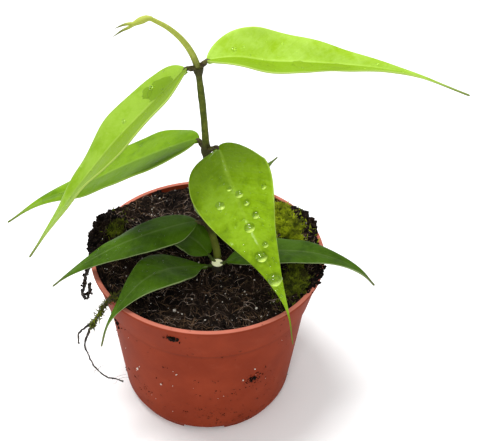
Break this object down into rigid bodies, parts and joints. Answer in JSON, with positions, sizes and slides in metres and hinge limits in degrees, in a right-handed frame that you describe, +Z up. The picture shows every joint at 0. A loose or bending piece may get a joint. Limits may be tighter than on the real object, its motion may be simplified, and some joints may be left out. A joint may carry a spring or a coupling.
{
  "type": "potted hoya",
  "caption": "Young hoya vine with long-pointed waxy leaves in opposite pairs, rooted in dark peat in a terracotta-coloured plastic nursery pot.",
  "frame": {"origin": "middle of the pot's base, on the ground", "axes": "+Z up along the pot's axis; -Y towards the viewer's side, where the broadest leaf hangs; +X to the right"},
  "size_m": [0.1945, 0.1057, 0.1979],
  "materials": {
    "pot_terracotta": "satin",
    "soil_peat": "matt",
    "moss_green": "matt",
    "stem_bark": "matt",
    "shoot_young": "satin",
    "leaf_young": "satin",
    "leaf_old": "satin",
    "root_dry": "matt"
  },
  "bodies": {
    "root": {"pot": "pot_terracotta", "soil": "soil_peat", "moss_back_right": "moss_green", "moss_front_right": "moss_green", "moss_left": "moss_green", "old_cutting": "stem_bark", "vine_stem": "stem_bark", "new_shoot": "shoot_young", "tip_bud": "shoot_young", "bud_leaf_upper": "shoot_young", "bud_leaf_lower": "shoot_young", "leaf_top_right": "leaf_young", "leaf_top_left": "leaf_young", "leaf_middle_left": "leaf_young", "leaf_middle_front": "leaf_young", "leaf_low_left": "leaf_old", "leaf_low_back": "leaf_old", "leaf_base_front": "leaf_old", "leaf_base_right": "leaf_old", "leaf_base_small": "leaf_old", "loose_root": "root_dry", "curled_root": "root_dry"}
  },
  "joints": []
}
